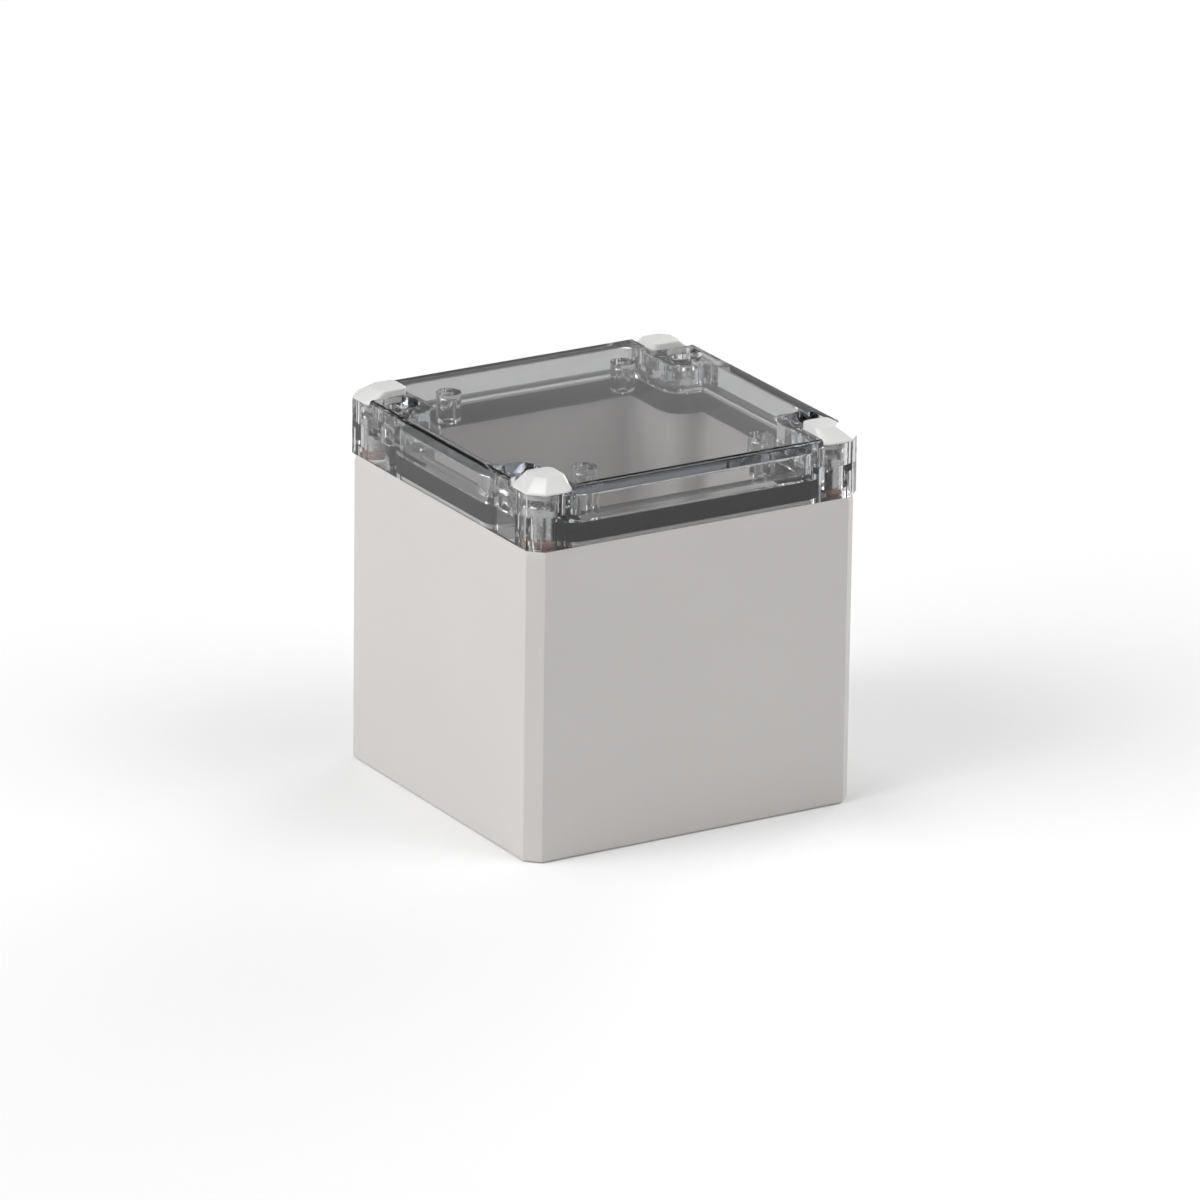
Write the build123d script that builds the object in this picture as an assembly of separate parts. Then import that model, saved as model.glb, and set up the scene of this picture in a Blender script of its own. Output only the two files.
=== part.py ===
from build123d import *
import os

# Small polycarbonate enclosure: a deep moulded base, a clear lid on a tongue and groove seal,
# four lid screws in the corners under white caps, and a fixing channel beside each screw.
# Millimetres, +Z up. X runs along the longer side. The origin is the centre of the underside.

# Overall sizes
lid_length = 82.0           # outer size along X
lid_width = 80.0            # outer size along Y
base_height = 70.0          # underside to the joint line
lid_height = 14.0           # joint line to the flat top of the lid
joint_gap = 0.05            # base to lid where they seat
lid_overhang = 0.4          # the lid stands this far out past the base
corner_chamfer = 3.0        # flat on each upright corner edge
lid_edge_radius = 0.8       # rounding round the top of the lid
base_foot_radius = 0.6      # rounding round the underside of the base
rim_bevel_height = 1.7      # bevelled rim under the joint line
rim_bevel_depth = 0.35

# Seal path: runs beside the outer wall and swings inboard round each corner pad
skirt = 1.8                 # lid wall outside the seal groove
pad_x = 9.6                 # corner pad, from the lid's side to the groove, along X
pad_y = 19.0                # the same along Y
turn_radius = 4.4           # where the straight groove turns inboard
pad_radius = 2.2            # where the groove rounds the pad
groove_width = 2.4
inner_rib = 1.2             # lid wall inside the groove
tongue_gap = 0.3            # tongue to groove wall, each side
tongue_width = 1.8
tongue_height = 1.2
gasket_height = 3.7
gasket_slack = 0.05         # gasket to groove, all round
rib_lift = 0.6              # inner rib ends this far above the joint line
groove_ledge = 1.4          # lid over the groove

# Base moulding
floor_thickness = 3.0
foot_recess = 0.6           # the underside is relieved inside a flat rim
foot_rim = 7.0              # rim width, inboard of the seal path
cavity_fillet = 1.5

# Lid moulding
plate = 3.0                 # top plate of the lid
plate_fillet = 0.6
lid_wall = 2.2              # lid wall above the groove
pad_side = 1.0              # pads above the groove stand this much further inboard
pad_wall = 1.4              # between the groove and the hollow under a pad
pad_roof = 8.4              # lid top down to the hollow under a pad
pad_hollow_radius = 1.5

# Corner screw: place from the lid's sides, then sizes
screw_in_x = 5.5
screw_in_y = 6.0
screw_radius = 2.0
screw_length = 20.0         # under the head
screw_tip = 0.6
screw_hole_radius = 2.25
head_radius = 3.7
head_height = 2.4
head_rounding = 0.6
head_depth = 7.0            # lid top down to the seat for the head
seat_gap = 0.05             # head or cap to the face it sits on
counterbore_radius = 4.1
boss_radius = 4.6           # runs into the outer walls beside it
slot_width = 1.0
slot_depth = 1.1

# Retaining ring that keeps the screw in the lid
ring_radius = 2.9
ring_height = 1.0
ring_recess_radius = 3.1
ring_recess_height = 1.6
ring_lift = 0.3             # ring to the base

# Threaded insert in the base under each screw
insert_radius = 2.9
insert_length = 8.0
insert_bore_radius = 2.05
insert_sink = 0.2
insert_waist_depth = 0.3
insert_waist_height = 2.0
pilot_radius = 2.3
pilot_length = 8.0

# Corner cap
cap_x = 10.2
cap_y = 10.3
cap_end_radius = 2.5        # seen from above, at the two ends
cap_run_out = 0.5           # that rounding runs out this far past the lid's sides
cap_inner_radius = 2.3      # seen from above, at the inner corner
cap_depth = 1.6             # lid top down to the shelf that the cap sits on
cap_thickness = 2.9
cap_bevel = 2.5             # slopes on the outer sides
cap_softness = 0.8          # rounding between the slopes
cap_gap = 0.15
plug_height = 1.6
plug_wall = 1.1
plug_gap = 0.15
plug_slot = 1.2

# Fixing channel beside each screw
fix_in_x = 5.5
fix_in_y = 15.0
fix_hole_radius = 2.25
channel_side = 7.2          # square well, for the head of an M4 screw
channel_round = 1.0
channel_floor = 4.5
cup_radius = 3.9            # round cup in the lid over the channel
cup_depth = 3.6
cup_floor = 1.4
cup_core_radius = 2.5       # coring under the cup

# Board pillars on the floor, lid posts above them
board_in_x = 19.1           # board screw from the lid's sides
board_in_y = 11.4
pillar_radius = 3.75
pillar_height = 6.0
pillar_fillet = 0.8
board_insert_radius = 2.1
board_insert_length = 4.5
board_bore_radius = 1.5
post_radius = 2.75
post_length = 6.5
post_hole_radius = 1.1
post_hole_depth = 5.0

# Corners by name, with the side of X and Y that each is on
corners = {
    "front_left": (-1, -1),
    "front_right": (1, -1),
    "back_left": (-1, 1),
    "back_right": (1, 1),
}

half_x = lid_length / 2
half_y = lid_width / 2
floor_top = foot_recess + floor_thickness
lid_bottom = base_height + joint_gap
lid_top = base_height + lid_height
head_seat = lid_top - head_depth
cap_floor = lid_top - cap_depth
groove_roof = base_height + tongue_height + gasket_height + gasket_slack
above = 1.0                 # cutters run this far past the faces they cut
near = 0.01                 # edges and faces this close to a place count as on it


def block(length, width, height):
    """Upright block on the origin with flats on its four corner edges."""
    solid = Box(length, width, height, align=(Align.CENTER, Align.CENTER, Align.MIN))
    return chamfer(solid.edges().filter_by(Axis.Z), corner_chamfer)


def seal_outline(inset, pad_side=0.0):
    """Face inside the seal path, moved in by inset from the groove's outer wall, and more by pad_side at the pads."""
    x = half_x - skirt - inset
    y = half_y - skirt - inset
    px = half_x - pad_x - inset - pad_side
    py = half_y - pad_y - inset - pad_side
    turn = max(turn_radius - inset, 0.0)
    pad = pad_radius + inset + pad_side
    points = []
    radii = []
    for sx, sy in ((1, 1), (-1, 1), (-1, -1), (1, -1)):
        corner = [(sx * x, sy * py), (sx * px, sy * py), (sx * px, sy * y)]
        if sx != sy:
            corner.reverse()
        points += corner
        radii += [turn, pad, turn]
    return make_face(FilletPolyline(*points, radius=radii, close=True))


def tower(face, bottom, top):
    """Solid on a flat face, between two heights."""
    return Pos(0, 0, bottom) * extrude(face, top - bottom)


def rod(radius, bottom, top, x=0.0, y=0.0):
    """Upright cylinder between two heights."""
    return Pos(x, y, bottom) * Cylinder(
        radius, top - bottom, align=(Align.CENTER, Align.CENTER, Align.MIN)
    )


def screw_place(sx, sy):
    return sx * (half_x - screw_in_x), sy * (half_y - screw_in_y)


def fix_place(sx, sy):
    return sx * (half_x - fix_in_x), sy * (half_y - fix_in_y)


def board_place(sx, sy):
    return sx * (half_x - board_in_x), sy * (half_y - board_in_y)


def outer_edges_at(solid, height):
    """Edges of a block's outline at one height."""
    return solid.edges().filter_by_position(Axis.Z, height - near, height + near)


def make_base():
    length = lid_length - 2 * lid_overhang
    width = lid_width - 2 * lid_overhang
    solid = block(length, width, base_height)
    top_face = solid.faces().sort_by(Axis.Z)[-1]
    solid = chamfer(top_face.edges(), rim_bevel_depth, rim_bevel_height, reference=top_face)
    solid = fillet(outer_edges_at(solid, 0), base_foot_radius)

    tongue_in = tongue_gap + tongue_width
    solid += tower(seal_outline(tongue_gap), base_height - above, base_height + tongue_height)
    cavity = tower(seal_outline(tongue_in), floor_top, base_height + tongue_height + above)
    cavity = fillet(outer_edges_at(cavity, floor_top), cavity_fillet)
    solid -= cavity
    solid -= tower(seal_outline(foot_rim - skirt), -above, foot_recess)

    pilot_bottom = base_height - insert_sink - insert_length - pilot_length
    for sx, sy in corners.values():
        x, y = screw_place(sx, sy)
        solid -= rod(insert_radius, base_height - insert_sink - insert_length, base_height + above, x, y)
        solid -= rod(pilot_radius, pilot_bottom, base_height, x, y)

        x, y = fix_place(sx, sy)
        channel = Pos(x, y) * RectangleRounded(channel_side, channel_side, channel_round)
        solid -= tower(channel, channel_floor, base_height + above)
        solid -= rod(fix_hole_radius, -above, channel_floor + above, x, y)

        x, y = board_place(sx, sy)
        pillar = rod(pillar_radius, floor_top - above, floor_top + pillar_height, x, y)
        solid += pillar
    foot_rings = [
        edge
        for edge in outer_edges_at(solid, floor_top)
        if edge.geom_type == GeomType.CIRCLE and abs(edge.radius - pillar_radius) < near
    ]
    solid = fillet(foot_rings, pillar_fillet)
    pillar_top = floor_top + pillar_height
    for sx, sy in corners.values():
        x, y = board_place(sx, sy)
        solid -= rod(board_insert_radius, pillar_top - board_insert_length, pillar_top + above, x, y)
    return solid


def cap_plan(sx, sy, grow, end_radius):
    """Outline of a corner cap seen from above, made larger by grow on its two inner sides.

    It runs out past the lid's sides, for the lid's own outline to trim it.
    """
    outer_x = sx * (half_x + cap_run_out)
    outer_y = sy * (half_y + cap_run_out)
    inner_x = sx * (half_x - cap_x - grow)
    inner_y = sy * (half_y - cap_y - grow)
    points = [(outer_x, inner_y), (outer_x, outer_y), (inner_x, outer_y), (inner_x, inner_y)]
    radii = [end_radius, 0.0, end_radius, cap_inner_radius + grow]
    return make_face(FilletPolyline(*points, radius=radii, close=True))


def make_lid():
    solid = Pos(0, 0, lid_bottom) * block(lid_length, lid_width, lid_top - lid_bottom)
    solid = fillet(outer_edges_at(solid, lid_top), lid_edge_radius)

    ledge_top = groove_roof + groove_ledge
    solid -= tower(seal_outline(groove_width + inner_rib), base_height - above, ledge_top + above)
    room = tower(seal_outline(lid_wall - skirt, pad_side), ledge_top, lid_top - plate)
    room = fillet(outer_edges_at(room, lid_top - plate), plate_fillet)
    solid -= room

    hollow_x = pad_x - pad_wall - skirt
    hollow_y = pad_y - pad_wall - skirt
    for sx, sy in corners.values():
        hollow = RectangleRounded(hollow_x, hollow_y, pad_hollow_radius)
        hollow = Pos(sx * (half_x - skirt - hollow_x / 2), sy * (half_y - skirt - hollow_y / 2)) * hollow
        solid -= tower(hollow, base_height - above, lid_top - pad_roof)

        x, y = screw_place(sx, sy)
        solid += rod(boss_radius, lid_bottom, head_seat, x, y)
        solid -= rod(ring_recess_radius, base_height - above, lid_bottom + ring_recess_height, x, y)
        solid -= rod(screw_hole_radius, base_height, lid_top, x, y)
        solid -= rod(counterbore_radius, head_seat, lid_top, x, y)
        solid -= tower(cap_plan(sx, sy, cap_gap, 0.0), cap_floor, lid_top + above)

        x, y = fix_place(sx, sy)
        cup_bottom = lid_top - cup_depth
        solid -= rod(cup_radius, cup_bottom, lid_top + above, x, y)
        solid -= rod(cup_core_radius, base_height - above, cup_bottom - cup_floor, x, y)

        x, y = board_place(sx, sy)
        post_bottom = lid_top - plate - post_length
        solid += rod(post_radius, post_bottom, lid_top - plate, x, y)
        solid -= rod(post_hole_radius, post_bottom - above, post_bottom + post_hole_depth, x, y)

    groove = seal_outline(0) - seal_outline(groove_width)
    solid -= tower(groove, base_height - above, groove_roof)
    solid -= tower(seal_outline(0), base_height - above, base_height + rib_lift)
    return solid


def make_gasket():
    ring = seal_outline(gasket_slack) - seal_outline(groove_width - gasket_slack)
    bottom = base_height + tongue_height
    return tower(ring, bottom, bottom + gasket_height)


def make_screw(sx, sy):
    x, y = screw_place(sx, sy)
    seat = head_seat + seat_gap
    shank = rod(screw_radius, seat - screw_length, seat)
    shank = chamfer(outer_edges_at(shank, seat - screw_length), screw_tip)
    head = rod(head_radius, seat, seat + head_height)
    head = fillet(outer_edges_at(head, seat + head_height), head_rounding)
    slot = Box(2 * head_radius, slot_width, slot_depth, align=(Align.CENTER, Align.CENTER, Align.MAX))
    slot = Pos(0, 0, seat + head_height) * slot
    return Pos(x, y, 0) * (shank + head - slot - Rot(0, 0, 90) * slot)


def make_ring(sx, sy):
    x, y = screw_place(sx, sy)
    bottom = base_height + ring_lift
    return rod(ring_radius, bottom, bottom + ring_height, x, y) - rod(
        screw_radius, bottom - above, bottom + ring_height + above, x, y
    )


def make_insert(sx, sy):
    x, y = screw_place(sx, sy)
    top = base_height - insert_sink
    middle = top - insert_length / 2
    body = rod(insert_radius, top - insert_length, top)
    waist = rod(insert_radius, middle - insert_waist_height / 2, middle + insert_waist_height / 2) - rod(
        insert_radius - insert_waist_depth, top - insert_length, top
    )
    return Pos(x, y, 0) * (body - waist - rod(insert_bore_radius, top - insert_length - above, top + above))


def make_board_insert(sx, sy):
    x, y = board_place(sx, sy)
    top = floor_top + pillar_height
    return rod(board_insert_radius, top - board_insert_length, top, x, y) - rod(
        board_bore_radius, top - board_insert_length - above, top + above, x, y
    )


def make_cap(sx, sy):
    bottom = cap_floor + seat_gap
    top = cap_floor + cap_thickness
    slopes = block(lid_length, lid_width, top)
    slopes = chamfer(outer_edges_at(slopes, top), cap_bevel)
    ridges = slopes.edges().filter_by(lambda edge: top - cap_bevel + near < edge.center().Z < top - near)
    slopes = fillet(ridges, cap_softness)
    solid = tower(cap_plan(sx, sy, 0.0, cap_end_radius), bottom, top + above) & slopes
    x, y = screw_place(sx, sy)
    plug_radius = counterbore_radius - plug_gap
    plug = rod(plug_radius, bottom - plug_height, bottom, x, y)
    plug -= rod(plug_radius - plug_wall, bottom - plug_height, bottom, x, y)
    plug -= Pos(x, y, bottom - plug_height / 2) * Box(2 * counterbore_radius, plug_slot, plug_height)
    return solid + plug


os.makedirs("parts", exist_ok=True)
export_step(make_base(), "parts/base.step")
export_step(make_lid(), "parts/lid.step")
export_step(make_gasket(), "parts/lid_gasket.step")
for name, (side_x, side_y) in corners.items():
    export_step(make_screw(side_x, side_y), f"parts/lid_screw_{name}.step")
    export_step(make_ring(side_x, side_y), f"parts/screw_ring_{name}.step")
    export_step(make_insert(side_x, side_y), f"parts/corner_insert_{name}.step")
    export_step(make_cap(side_x, side_y), f"parts/corner_cap_{name}.step")
    export_step(make_board_insert(side_x, side_y), f"parts/board_insert_{name}.step")
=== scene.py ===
import math

import bmesh
import bpy
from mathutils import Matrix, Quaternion, Vector


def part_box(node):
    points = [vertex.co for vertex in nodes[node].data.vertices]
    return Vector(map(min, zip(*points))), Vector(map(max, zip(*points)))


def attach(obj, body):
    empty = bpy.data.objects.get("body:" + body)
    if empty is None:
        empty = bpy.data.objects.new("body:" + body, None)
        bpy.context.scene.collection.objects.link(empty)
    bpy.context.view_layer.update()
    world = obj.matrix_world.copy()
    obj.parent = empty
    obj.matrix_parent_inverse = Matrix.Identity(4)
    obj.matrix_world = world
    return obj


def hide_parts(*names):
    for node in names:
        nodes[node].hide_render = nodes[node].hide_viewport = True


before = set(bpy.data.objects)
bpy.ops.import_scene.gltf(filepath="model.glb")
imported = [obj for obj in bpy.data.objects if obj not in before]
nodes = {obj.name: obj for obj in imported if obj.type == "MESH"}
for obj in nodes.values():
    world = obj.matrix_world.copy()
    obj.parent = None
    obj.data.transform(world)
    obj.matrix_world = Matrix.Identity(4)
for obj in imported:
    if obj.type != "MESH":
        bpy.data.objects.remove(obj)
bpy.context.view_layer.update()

corners = ("front_left", "front_right", "back_left", "back_right")


# Camera

# Worked out from the box's corners in the photograph: a long lens, a little above the lid.
camera_turn = math.radians(-31.0668)
camera_rise = math.radians(19.427)
camera_roll = math.radians(0.7508)
camera_distance = 2.20188
camera_target = Vector((-0.00030, 0.0, 0.04078))
camera_lens = 305.8         # mm
camera_sensor = 36.0        # mm


def place_camera():
    """Turned and raised round its target, and rolled a little, as the photograph was."""
    back = Vector((
        math.sin(camera_turn) * math.cos(camera_rise),
        -math.cos(camera_turn) * math.cos(camera_rise),
        math.sin(camera_rise),
    ))
    data = bpy.data.cameras.new("camera")
    data.lens = camera_lens
    data.sensor_width = camera_sensor
    data.clip_start = 0.05
    data.clip_end = 50.0
    camera = bpy.data.objects.new("camera", data)
    camera.rotation_mode = "QUATERNION"
    camera.rotation_quaternion = back.to_track_quat("Z", "Y") @ Quaternion((0, 0, 1), camera_roll)
    camera.location = camera_target + back * camera_distance
    bpy.context.scene.collection.objects.link(camera)
    bpy.context.scene.camera = camera


# Materials

def hex_colour(code):
    """sRGB hex to the linear colour that a shader takes."""
    channels = [int(code[i:i + 2], 16) / 255 for i in (1, 3, 5)]
    linear = [c / 12.92 if c <= 0.04045 else ((c + 0.055) / 1.055) ** 2.4 for c in channels]
    return (*linear, 1.0)


def add_node(owner, kind, settings=None, inputs=None):
    """Adds a shader node. An input is a value, or (node, output) to link from."""
    tree = owner.node_tree
    node = tree.nodes.new(kind)
    for name, value in (settings or {}).items():
        setattr(node, name, value)
    for name, value in (inputs or {}).items():
        if isinstance(value, tuple) and isinstance(value[0], bpy.types.Node):
            tree.links.new(value[0].outputs[value[1]], node.inputs[name])
        else:
            node.inputs[name].default_value = value
    return node


def new_material(name):
    material = bpy.data.materials.new(name)
    material.use_nodes = True
    material.node_tree.nodes.clear()
    return material


def per_metre(millimetres):
    """Pattern scale for a feature of this size, on Object coordinates in metres."""
    return 1000.0 / millimetres


moulded_edge = 0.0004       # radius that a moulded edge catches the light on
polycarbonate_ior = 1.585


def moulded_plastic(name, light, dark, roughness, grain, depth, ior=polycarbonate_ior):
    """Opaque moulded plastic: faint clouding, a fine eroded grain, and edges that catch the light.

    The grain's size is in millimetres and its depth in metres.
    """
    m = new_material(name)
    place = add_node(m, "ShaderNodeTexCoord")
    soft_edge = add_node(m, "ShaderNodeBevel", {"samples": 4}, {"Radius": moulded_edge})
    cloud = add_node(m, "ShaderNodeTexNoise", inputs={
        "Vector": (place, "Object"), "Scale": per_metre(35.0), "Detail": 3.0, "Roughness": 0.5})
    tint = add_node(m, "ShaderNodeMix", {"data_type": "RGBA"}, {
        0: (cloud, "Fac"), 6: hex_colour(dark), 7: hex_colour(light)})
    grit = add_node(m, "ShaderNodeTexNoise", inputs={
        "Vector": (place, "Object"), "Scale": per_metre(grain), "Detail": 2.0, "Roughness": 0.6})
    gloss = add_node(m, "ShaderNodeMapRange", inputs={
        "Value": (grit, "Fac"), "To Min": roughness - 0.05, "To Max": roughness + 0.05})
    bump = add_node(m, "ShaderNodeBump", inputs={
        "Height": (grit, "Fac"), "Strength": 0.25, "Distance": depth, "Normal": (soft_edge, "Normal")})
    shader = add_node(m, "ShaderNodeBsdfPrincipled", inputs={
        "Base Color": (tint, 2), "Roughness": (gloss, "Result"), "Normal": (bump, "Normal"), "IOR": ior})
    add_node(m, "ShaderNodeOutputMaterial", inputs={"Surface": (shader, "BSDF")})
    return m


def clear_polycarbonate():
    """Clear moulded polycarbonate: a light smoky tint and faint flow in the faces.

    It darkens along its long edges, and light shines through it into the box.
    """
    m = new_material("clear_moulded_polycarbonate")
    place = add_node(m, "ShaderNodeTexCoord")
    flow = add_node(m, "ShaderNodeTexNoise", inputs={
        "Vector": (place, "Object"), "Scale": per_metre(18.0), "Detail": 1.0, "Roughness": 0.4})
    bump = add_node(m, "ShaderNodeBump", inputs={
        "Height": (flow, "Fac"), "Strength": 0.10, "Distance": 0.0002})
    gloss = add_node(m, "ShaderNodeMapRange", inputs={
        "Value": (flow, "Fac"), "To Min": 0.01, "To Max": 0.04})
    shader = add_node(m, "ShaderNodeBsdfPrincipled", inputs={
        "Base Color": hex_colour("#E6E6E6"), "Roughness": (gloss, "Result"), "Normal": (bump, "Normal"),
        "IOR": polycarbonate_ior, "Transmission Weight": 1.0})
    body = add_node(m, "ShaderNodeVolumeAbsorption", inputs={
        "Color": hex_colour("#B4B8BE"), "Density": 40.0})
    ray = add_node(m, "ShaderNodeLightPath")
    through = add_node(m, "ShaderNodeBsdfTransparent", inputs={"Color": hex_colour("#FFFFFF")})
    surface = add_node(m, "ShaderNodeMixShader", inputs={
        0: (ray, "Is Shadow Ray"), 1: (shader, "BSDF"), 2: (through, "BSDF")})
    add_node(m, "ShaderNodeOutputMaterial", inputs={
        "Surface": (surface, "Shader"), "Volume": (body, "Volume")})
    return m


def moulded_rubber():
    """Black EPDM seal: matt, with a slight sheen and a fine ground texture."""
    m = new_material("black_moulded_epdm")
    place = add_node(m, "ShaderNodeTexCoord")
    grit = add_node(m, "ShaderNodeTexNoise", inputs={
        "Vector": (place, "Object"), "Scale": per_metre(1.2), "Detail": 3.0, "Roughness": 0.6})
    tint = add_node(m, "ShaderNodeMix", {"data_type": "RGBA"}, {
        0: (grit, "Fac"), 6: hex_colour("#080808"), 7: hex_colour("#101010")})
    bump = add_node(m, "ShaderNodeBump", inputs={
        "Height": (grit, "Fac"), "Strength": 0.2, "Distance": 0.00003})
    shader = add_node(m, "ShaderNodeBsdfPrincipled", inputs={
        "Base Color": (tint, 2), "Roughness": 0.8, "Normal": (bump, "Normal"), "IOR": 1.5,
        "Specular IOR Level": 0.2})
    add_node(m, "ShaderNodeOutputMaterial", inputs={"Surface": (shader, "BSDF")})
    return m


def turned_metal(name, light, dark, roughness, ring_pitch):
    """Turned metal: fine tool rings that streak the highlights."""
    m = new_material(name)
    place = add_node(m, "ShaderNodeTexCoord")
    rings = add_node(m, "ShaderNodeTexWave", {"wave_type": "BANDS", "bands_direction": "Z"}, {
        "Vector": (place, "Object"), "Scale": per_metre(ring_pitch) / 20.0, "Distortion": 1.5, "Detail": 2.0})
    wear = add_node(m, "ShaderNodeTexNoise", inputs={
        "Vector": (place, "Object"), "Scale": per_metre(2.0), "Detail": 3.0})
    tint = add_node(m, "ShaderNodeMix", {"data_type": "RGBA"}, {
        0: (wear, "Fac"), 6: hex_colour(dark), 7: hex_colour(light)})
    gloss = add_node(m, "ShaderNodeMapRange", inputs={
        "Value": (wear, "Fac"), "To Min": roughness - 0.08, "To Max": roughness + 0.08})
    bump = add_node(m, "ShaderNodeBump", inputs={
        "Height": (rings, "Fac"), "Strength": 0.3, "Distance": 0.00002})
    shader = add_node(m, "ShaderNodeBsdfPrincipled", inputs={
        "Base Color": (tint, 2), "Metallic": 1.0, "Roughness": (gloss, "Result"), "Normal": (bump, "Normal")})
    add_node(m, "ShaderNodeOutputMaterial", inputs={"Surface": (shader, "BSDF")})
    return m


def dress(piece, material):
    """Gives the piece this one material."""
    piece.data.materials.clear()
    piece.data.materials.append(material)


def dress_nodes():
    """Materials of the solids that show as they are. The seal, caps and screws are modelled below."""
    dress(nodes["base"], grey_plastic)
    dress(nodes["lid"], clear_plastic)
    for corner in corners:
        dress(nodes[f"screw_ring_{corner}"], fibre)
        dress(nodes[f"corner_insert_{corner}"], brass)
        dress(nodes[f"board_insert_{corner}"], brass)


# Modelling helpers

def open_piece(name):
    """Names the primitive that was just added, puts its place in its mesh, and opens it for editing."""
    piece = bpy.context.object
    piece.name = name
    bpy.ops.object.transform_apply(location=True, rotation=True, scale=True)
    bpy.ops.object.mode_set(mode="EDIT")
    bpy.ops.mesh.select_all(action="DESELECT")
    return piece


def pick(piece, kind, test):
    """In edit mode, selects only the points, edges or faces that pass the test, which gets their middle."""
    bpy.ops.mesh.select_mode(type=kind)
    bpy.ops.mesh.select_all(action="DESELECT")
    mesh = bmesh.from_edit_mesh(piece.data)
    if kind == "VERT":
        for point in mesh.verts:
            point.select_set(test(point.co))
    elif kind == "EDGE":
        for edge in mesh.edges:
            edge.select_set(test((edge.verts[0].co + edge.verts[1].co) / 2, edge))
    else:
        for face in mesh.faces:
            face.select_set(test(face.calc_center_median(), face))
    mesh.select_flush_mode()
    bmesh.update_edit_mesh(piece.data)


def close_piece(piece):
    """Leaves edit mode with the faces pointing outwards."""
    bpy.ops.mesh.select_mode(type="FACE")
    bpy.ops.mesh.select_all(action="SELECT")
    bpy.ops.mesh.remove_doubles(threshold=0.000001)
    bpy.ops.mesh.normals_make_consistent(inside=False)
    bpy.ops.object.mode_set(mode="OBJECT")


def choose(*pieces):
    """Selects only these pieces, the first one active."""
    bpy.ops.object.select_all(action="DESELECT")
    for piece in pieces:
        piece.select_set(True)
    bpy.context.view_layer.objects.active = pieces[0]


def finish_with(piece, kind, **settings):
    """Adds a modifier to the piece and applies it."""
    choose(piece)
    modifier = piece.modifiers.new(kind.lower(), kind)
    for name, value in settings.items():
        setattr(modifier, name, value)
    bpy.ops.object.modifier_apply(modifier=modifier.name)


def combine(piece, other, operation):
    """Cuts the other piece out of this one, or joins them as one skin, and drops the other."""
    finish_with(piece, "BOOLEAN", operation=operation, object=other, solver="EXACT")
    bpy.data.objects.remove(other)


def copy_piece(piece, name):
    """A copy with its own mesh."""
    twin = piece.copy()
    twin.data = piece.data.copy()
    twin.name = name
    bpy.context.scene.collection.objects.link(twin)
    return twin


def upright(edge):
    """Whether the edge stands more than it lies."""
    return abs(edge.verts[0].co.z - edge.verts[1].co.z) > 0.5 * edge.calc_length()


def close_to(a, b):
    """Whether two lengths agree within 0.05 mm."""
    return abs(a - b) < 0.00005


def middle_of(low, high):
    """Middle of a box, seen from above."""
    return (low[0] + high[0]) / 2, (low[1] + high[1]) / 2


# Seal

seal_bite = 0.00005         # the squeezed seal wets the groove's walls, so no air shows between them
seal_rounding = 0.0003
lip_drop = 0.0006           # the seal is squeezed down this far on both sides of the base's tongue
lip_width = 0.00033
skirt = 0.0018              # lid wall outside the groove
pad_x = 0.0096              # corner pad, from the lid's side to the groove
pad_y = 0.0190
groove_width = 0.0024
turn_radius = 0.0044        # groove's outer wall, where it turns inboard
pad_radius = 0.0022         # and where it rounds the pad
turn_steps = 12             # facets of each turn


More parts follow.
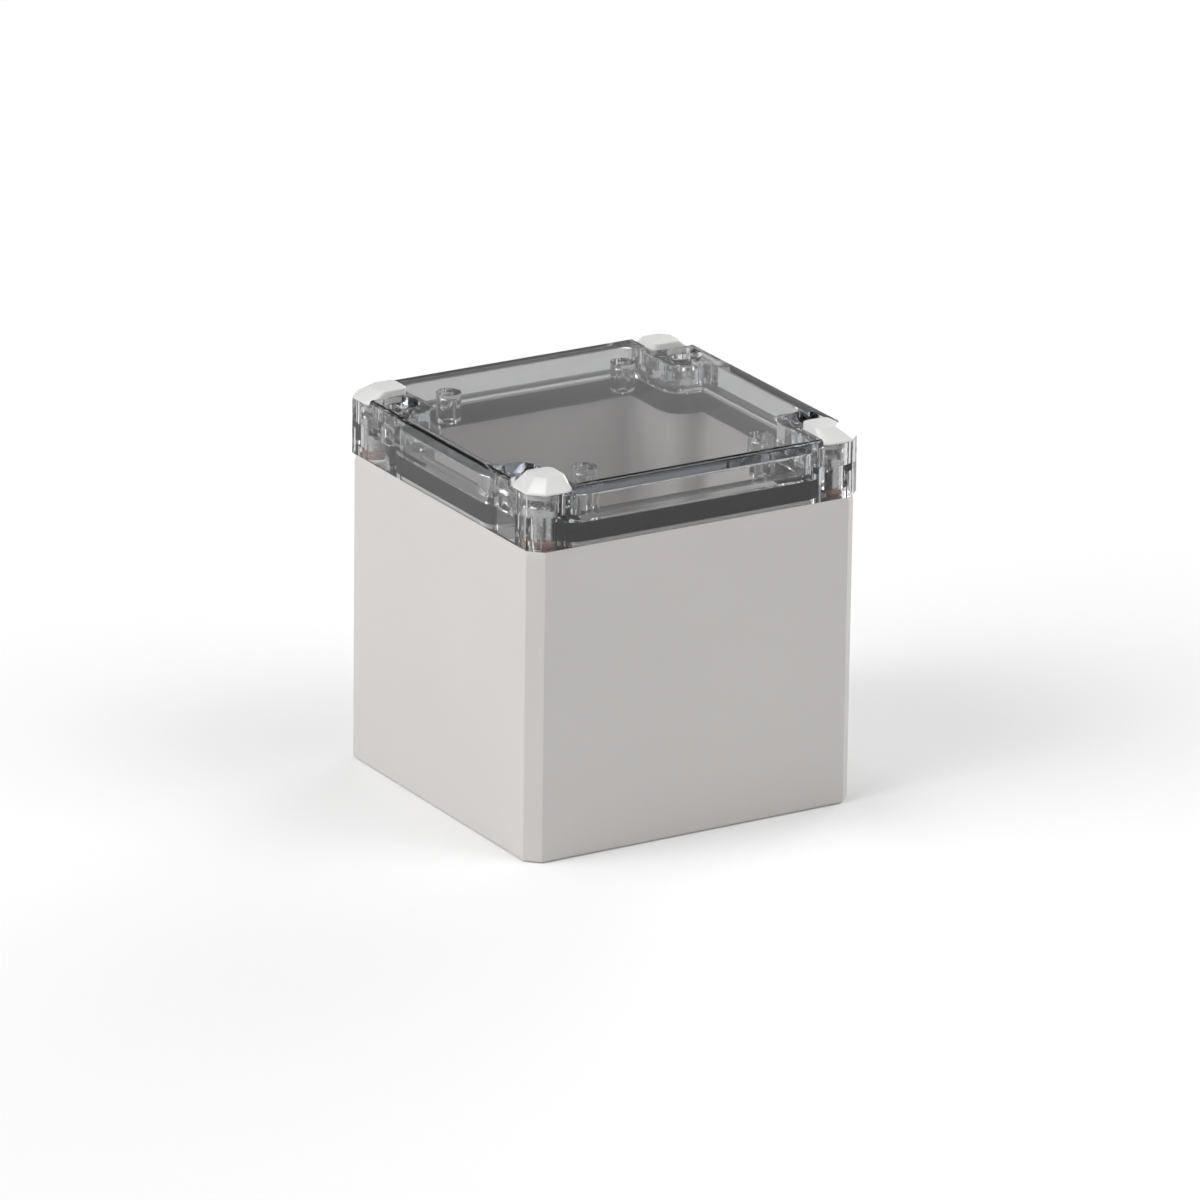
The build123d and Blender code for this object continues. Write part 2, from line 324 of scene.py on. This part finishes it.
def model_seal():
    """Black seal in the lid's groove: it swings inboard round each corner pad.

    Its path is that of the groove's middle: a grid of nine faces loses the four at the pads.
    """
    low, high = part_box("lid_gasket")
    lid_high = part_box("lid")[1]
    inset = groove_width / 2
    x = lid_high[0] - skirt - inset
    y = lid_high[1] - skirt - inset
    px = lid_high[0] - pad_x - inset
    py = lid_high[1] - pad_y - inset
    bpy.ops.object.select_all(action="DESELECT")
    bottom = low[2] - lip_drop
    bpy.ops.mesh.primitive_grid_add(
        x_subdivisions=3, y_subdivisions=3, size=2.0, location=(0.0, 0.0, bottom))
    bpy.context.object.scale = (x, y, 1.0)
    seal = open_piece("seal_ring")
    pick(seal, "VERT", lambda at: abs(at.x) < 0.5 * x)
    bpy.ops.transform.resize(value=(3.0 * px / x, 1.0, 1.0))
    pick(seal, "VERT", lambda at: abs(at.y) < 0.5 * y)
    bpy.ops.transform.resize(value=(1.0, 3.0 * py / y, 1.0))
    pick(seal, "FACE", lambda at, face: abs(at.x) > px and abs(at.y) > py)
    bpy.ops.mesh.delete(type="FACE")
    bpy.ops.mesh.select_all(action="SELECT")
    bpy.ops.mesh.dissolve_faces()
    pick(seal, "VERT", lambda at: close_to(abs(at.x), px) and close_to(abs(at.y), py))
    bpy.ops.mesh.bevel(offset=pad_radius + inset, segments=turn_steps, affect="VERTICES")
    pick(seal, "VERT", lambda at: (close_to(abs(at.x), x) and close_to(abs(at.y), py))
         or (close_to(abs(at.x), px) and close_to(abs(at.y), y)))
    bpy.ops.mesh.bevel(offset=turn_radius - inset, segments=turn_steps, affect="VERTICES")
    bpy.ops.mesh.select_all(action="SELECT")
    bpy.ops.mesh.delete(type="ONLY_FACE")
    bpy.ops.mesh.select_mode(type="EDGE")
    bpy.ops.mesh.select_all(action="SELECT")
    bpy.ops.mesh.extrude_region_move(TRANSFORM_OT_translate={"value": (0.0, 0.0, high[2] - bottom)})
    close_piece(seal)
    finish_with(seal, "SOLIDIFY", thickness=groove_width + 2 * seal_bite, offset=0.0, use_even_offset=True)
    bpy.ops.object.mode_set(mode="EDIT")
    pick(seal, "FACE", lambda at, face: face.normal.z < -0.9)
    bpy.ops.mesh.inset(thickness=lip_width)
    bpy.ops.mesh.extrude_region_move(TRANSFORM_OT_translate={"value": (0.0, 0.0, lip_drop)})
    close_piece(seal)
    finish_with(seal, "BEVEL", width=seal_rounding, segments=3, limit_method="ANGLE",
                angle_limit=math.radians(50))
    bpy.ops.object.shade_smooth_by_angle(angle=math.radians(35))
    dress(seal, rubber)
    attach(seal, "cover")
    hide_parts("lid_gasket")


# Corner caps

cap_rim = 0.0005            # upright rim under the slopes
cap_slope = 0.0034          # run of the slopes on the outer sides
cap_end_slope = 0.0003      # and on the inner sides
cap_corner_flat = 0.0030    # flat on the outer corner, in line with the lid's
cap_inner_rounding = 0.0023
cap_end_rounding = 0.0020
cap_softness = 0.0007       # rounding between the slopes
plug_height = 0.0016
plug_width = 0.0079
plug_sunk = 0.0003          # plug into the cap's underside
plug_wall = 0.0011
plug_slot = 0.0012
plug_uncut = 0.0002         # of the plug, above the slots
plug_steps = 48


def model_cap():
    """White cap over the front left screw: four slopes and a flat on the corner, over a split plug."""
    low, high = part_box("corner_cap_front_left")
    bottom = low[2] + plug_height
    middle = (*middle_of(low, high), bottom + cap_rim / 2)

    def outer_end(at):
        return close_to(at.x, low[0]) and close_to(at.y, high[1])

    def side_end(at):
        return close_to(at.x, high[0]) and close_to(at.y, low[1])

    bpy.ops.object.select_all(action="DESELECT")
    bpy.ops.mesh.primitive_cube_add(size=1.0, location=middle)
    bpy.context.object.scale = (high[0] - low[0], high[1] - low[1], cap_rim)
    cap = open_piece("cap_front_left")
    pick(cap, "EDGE", lambda at, edge: upright(edge) and close_to(at.x, low[0]) and close_to(at.y, low[1]))
    bpy.ops.mesh.bevel(offset=cap_corner_flat, segments=1)
    pick(cap, "EDGE", lambda at, edge: upright(edge) and close_to(at.x, high[0]) and close_to(at.y, high[1]))
    bpy.ops.mesh.bevel(offset=cap_inner_rounding, segments=6)
    pick(cap, "EDGE", lambda at, edge: upright(edge) and (outer_end(at) or side_end(at)))
    bpy.ops.mesh.bevel(offset=cap_end_rounding, segments=5)
    pick(cap, "FACE", lambda at, face: face.normal.z > 0.9)
    rise = high[2] - bottom - cap_rim
    bpy.ops.mesh.extrude_region_move(TRANSFORM_OT_translate={"value": (0.0, 0.0, rise)})
    shrink_x = 1.0 - (cap_slope + cap_end_slope) / (high[0] - low[0])
    shrink_y = 1.0 - (cap_slope + cap_end_slope) / (high[1] - low[1])
    shift = (cap_slope - cap_end_slope) / 2
    bpy.ops.transform.resize(value=(shrink_x, shrink_y, 1.0), center_override=middle)
    bpy.ops.transform.translate(value=(shift, shift, 0.0))
    close_piece(cap)
    finish_with(cap, "BEVEL", width=cap_softness, segments=4, limit_method="ANGLE",
                angle_limit=math.radians(14))

    axis = middle_of(*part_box("lid_screw_front_left"))
    plug_radius = plug_width / 2
    bpy.ops.mesh.primitive_cylinder_add(
        vertices=plug_steps, radius=plug_radius, depth=plug_height + plug_sunk,
        end_fill_type="NOTHING", location=(*axis, low[2] + (plug_height + plug_sunk) / 2))
    plug = open_piece("plug")
    close_piece(plug)
    finish_with(plug, "SOLIDIFY", thickness=plug_wall, offset=-1.0)
    for turn in (0.0, math.pi / 2):
        bpy.ops.mesh.primitive_cube_add(size=1.0, location=(*axis, low[2]), rotation=(0.0, 0.0, turn))
        bpy.context.object.scale = (3 * plug_radius, plug_slot, 2 * (plug_height - plug_uncut))
        cutter = open_piece("plug_cutter")
        close_piece(cutter)
        combine(plug, cutter, "DIFFERENCE")
    combine(cap, plug, "UNION")
    bpy.ops.object.shade_smooth_by_angle(angle=math.radians(25))
    dress(cap, white_plastic)
    return cap


def place_caps():
    """The modelled cap on its corner, and a mirrored copy on each of the other three."""
    first = model_cap()
    caps = {"front_left": first}
    mirrors = {"front_right": (-1, 1, 1), "back_left": (1, -1, 1), "back_right": (-1, -1, 1)}
    for corner, mirror in mirrors.items():
        cap = copy_piece(first, f"cap_{corner}")
        choose(cap)
        cap.scale = mirror
        bpy.ops.object.transform_apply(location=True, rotation=True, scale=True)
        bpy.ops.object.mode_set(mode="EDIT")
        close_piece(cap)
        caps[corner] = cap
    for corner, cap in caps.items():
        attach(cap, f"cap_{corner}")
        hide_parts(f"corner_cap_{corner}")


# Lid screws

head_height = 0.0024
head_rounding = 0.0006
head_steps = 48
slot_width = 0.0010
slot_depth = 0.0011
neck_radius = 0.00195
neck_sunk = 0.0002          # neck and core into the head
core_radius = 0.0016
shank_steps = 32
thread_reach = 0.0090       # threaded length, at the lower end
thread_pitch = 0.0007
thread_height = 0.00038
thread_base = 0.8           # width of the ridge's foot, as a share of the pitch
thread_sunk = 0.0001        # ridge into the core
thread_steps = 24
tip_bevel = 0.0005


def model_screw():
    """Captive lid screw, on the Z axis: cross-slotted cheese head, plain neck and a rolled thread."""
    low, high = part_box("lid_screw_front_left")
    head_radius = (high[0] - low[0]) / 2
    seat = high[2] - head_height
    thread_top = low[2] + thread_reach
    bpy.ops.object.select_all(action="DESELECT")
    bpy.ops.mesh.primitive_cylinder_add(
        vertices=head_steps, radius=head_radius, depth=head_height,
        location=(0.0, 0.0, seat + head_height / 2))
    screw = open_piece("screw_front_left")
    pick(screw, "EDGE", lambda at, edge: close_to(at.z, high[2]) and not upright(edge))
    bpy.ops.mesh.bevel(offset=head_rounding, segments=4)
    close_piece(screw)
    for turn in (0.0, math.pi / 2):
        bpy.ops.mesh.primitive_cube_add(size=1.0, location=(0.0, 0.0, high[2]), rotation=(0.0, 0.0, turn))
        bpy.context.object.scale = (3 * head_radius, slot_width, 2 * slot_depth)
        cutter = open_piece("slot_cutter")
        close_piece(cutter)
        combine(screw, cutter, "DIFFERENCE")

    bpy.ops.mesh.primitive_cylinder_add(
        vertices=shank_steps, radius=core_radius, depth=seat + neck_sunk - low[2],
        location=(0.0, 0.0, (seat + neck_sunk + low[2]) / 2))
    shank = open_piece("shank")
    pick(shank, "EDGE", lambda at, edge: close_to(at.z, low[2]) and not upright(edge))
    bpy.ops.mesh.bevel(offset=tip_bevel, segments=1)
    close_piece(shank)
    bpy.ops.mesh.primitive_cylinder_add(
        vertices=shank_steps, radius=neck_radius, depth=seat + neck_sunk - thread_top,
        location=(0.0, 0.0, (seat + neck_sunk + thread_top) / 2))
    neck = open_piece("neck")
    close_piece(neck)
    combine(shank, neck, "UNION")
    combine(screw, shank, "UNION")

    thread = model_thread(low[2] + tip_bevel, thread_top - low[2] - 2 * tip_bevel)
    choose(screw, thread)
    bpy.ops.object.join()
    bpy.ops.object.shade_smooth_by_angle(angle=math.radians(30))
    dress(screw, steel)
    return screw


def model_thread(start, length):
    """Ridge of the thread: a small triangle carried up round the axis, closed at both ends."""
    bpy.ops.object.select_all(action="DESELECT")
    bpy.ops.mesh.primitive_plane_add(
        size=1.0, rotation=(math.pi / 2, 0.0, 0.0), location=(core_radius, 0.0, start))
    bpy.context.object.scale = (thread_height + thread_sunk, thread_base * thread_pitch, 1.0)
    thread = open_piece("thread")
    pick(thread, "VERT", lambda at: at.x > core_radius)
    bpy.ops.mesh.merge(type="CENTER")
    bpy.ops.mesh.select_all(action="SELECT")
    bpy.ops.transform.translate(value=((thread_height - thread_sunk) / 2, 0.0, 0.0))
    bpy.ops.mesh.delete(type="ONLY_FACE")
    bpy.ops.object.mode_set(mode="OBJECT")
    finish_with(thread, "SCREW", axis="Z", angle=2 * math.pi, screw_offset=thread_pitch,
                iterations=int(length / thread_pitch), steps=thread_steps, render_steps=thread_steps,
                use_normal_calculate=True)
    bpy.ops.object.mode_set(mode="EDIT")
    bpy.ops.mesh.select_mode(type="EDGE")
    bpy.ops.mesh.select_all(action="DESELECT")
    bpy.ops.mesh.select_non_manifold()
    bpy.ops.mesh.fill()
    close_piece(thread)
    return thread


def place_screws():
    """The modelled screw on each corner: one made, three copied."""
    first = model_screw()
    screws = {"front_left": first}
    for corner in corners[1:]:
        screws[corner] = copy_piece(first, f"screw_{corner}")
    for corner, screw in screws.items():
        choose(screw)
        screw.location = (*middle_of(*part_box(f"lid_screw_{corner}")), 0.0)
        bpy.ops.object.transform_apply(location=True, rotation=True, scale=True)
        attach(screw, f"screw_{corner}")
        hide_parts(f"lid_screw_{corner}")


# Floor and light

floor_side = 12.0
floor_drop = 0.0001         # below the box's feet


def lay_floor():
    """Plain white floor, wide enough for every view."""
    m = new_material("white_studio_floor")
    shader = add_node(m, "ShaderNodeBsdfPrincipled", inputs={
        "Base Color": hex_colour("#F4F4F4"), "Roughness": 0.9, "Specular IOR Level": 0.1})
    add_node(m, "ShaderNodeOutputMaterial", inputs={"Surface": (shader, "BSDF")})
    bpy.ops.mesh.primitive_plane_add(size=floor_side, location=(0.0, 0.0, -floor_drop))
    floor = bpy.context.object
    floor.name = "studio_floor"
    floor.data.materials.append(m)


# Wide soft lights: turn from +X towards +Y, rise, both in degrees, strength, and how narrow each is.
fill_strength = 0.10
soft_lights = (
    (176.0, 32.0, 5.9, 14.0),       # left, the brightest side of the box
    (-48.0, 45.0, 3.9, 16.0),       # high, front and right
    (30.0, 12.0, 5.8, 22.0),        # behind, right, seen through the lid
    (130.0, 78.0, 6.5, 60.0),       # small and overhead: it glints on the caps' corner slopes
)


def light_scene():
    """A dim white studio all round, with the soft lights as brighter places in it."""
    world = bpy.data.worlds.new("studio")
    world.use_nodes = True
    world.node_tree.nodes.clear()
    place = add_node(world, "ShaderNodeTexCoord")
    total = add_node(world, "ShaderNodeMath", {"operation": "ADD"}, {0: fill_strength, 1: 0.0})
    for turn, rise, strength, narrowness in soft_lights:
        turn, rise = math.radians(turn), math.radians(rise)
        level = math.cos(rise)
        direction = Vector((level * math.cos(turn), level * math.sin(turn), math.sin(rise)))
        facing = add_node(world, "ShaderNodeVectorMath", {"operation": "DOT_PRODUCT"}, {
            0: (place, "Generated"), 1: direction})
        lit = add_node(world, "ShaderNodeMath", {"operation": "MAXIMUM"}, {
            0: (facing, "Value"), 1: 0.0})
        lobe = add_node(world, "ShaderNodeMath", {"operation": "POWER"}, {
            0: (lit, 0), 1: narrowness})
        total = add_node(world, "ShaderNodeMath", {"operation": "MULTIPLY_ADD"}, {
            0: (lobe, 0), 1: strength, 2: (total, 0)})
    sky = add_node(world, "ShaderNodeBackground", inputs={
        "Color": (1.0, 1.0, 1.0, 1.0), "Strength": (total, 0)})
    add_node(world, "ShaderNodeOutputWorld", inputs={"Surface": (sky, "Background")})
    scene = bpy.context.scene
    scene.world = world
    scene.view_settings.view_transform = "Standard"
    # Enough bounces for light to find its way through the lid's walls and back.
    scene.cycles.max_bounces = 24
    scene.cycles.transmission_bounces = 24
    scene.cycles.transparent_max_bounces = 24
    scene.cycles.diffuse_bounces = 5
    scene.cycles.glossy_bounces = 8


grey_plastic = moulded_plastic(
    "grey_moulded_polycarbonate", "#C6C3C1", "#C1BEBC", roughness=0.42, grain=0.35, depth=0.00004)
white_plastic = moulded_plastic(
    "white_moulded_polycarbonate", "#DADAD8", "#D6D6D4", roughness=0.26, grain=0.30, depth=0.00003)
fibre = moulded_plastic(
    "brown_pressed_fibre", "#8A5A48", "#6E4234", roughness=0.7, grain=0.4, depth=0.00008, ior=1.5)
steel = turned_metal("zinc_plated_turned_steel", "#D6D6D4", "#C2C3C4", 0.28, 0.3)
brass = turned_metal("turned_brass", "#D9B36A", "#C29A55", 0.3, 0.3)
clear_plastic = clear_polycarbonate()
rubber = moulded_rubber()

place_camera()
dress_nodes()
model_seal()
place_caps()
place_screws()
lay_floor()
light_scene()
